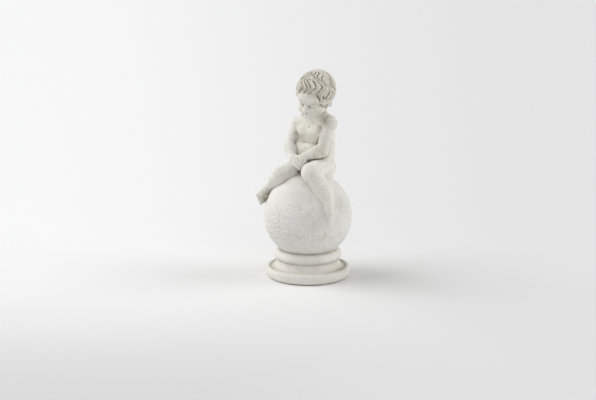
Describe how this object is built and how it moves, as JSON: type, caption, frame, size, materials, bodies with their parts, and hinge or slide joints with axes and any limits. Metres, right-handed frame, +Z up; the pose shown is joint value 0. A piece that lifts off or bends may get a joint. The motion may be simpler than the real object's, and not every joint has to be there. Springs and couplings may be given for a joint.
{
  "type": "grave angel statue",
  "caption": "Cast stone child angel without wings, seated on a ball with hands in the lap and head bowed, on a round turned foot; stands free on a grave or in a garden.",
  "frame": {"origin": "middle of the flat underside of the round foot, on the ground", "axes": "+Z up along the axis of the foot and the ball; the child faces -Y; +X is the child's left"},
  "size_m": [0.2351, 0.2238, 0.5311],
  "materials": {
    "cast_stone": "matt off-white cast stone, weathered, with grey-brown dirt in the hollows"
  },
  "bodies": {
    "root": {"angel_statue": "cast_stone"}
  },
  "joints": []
}
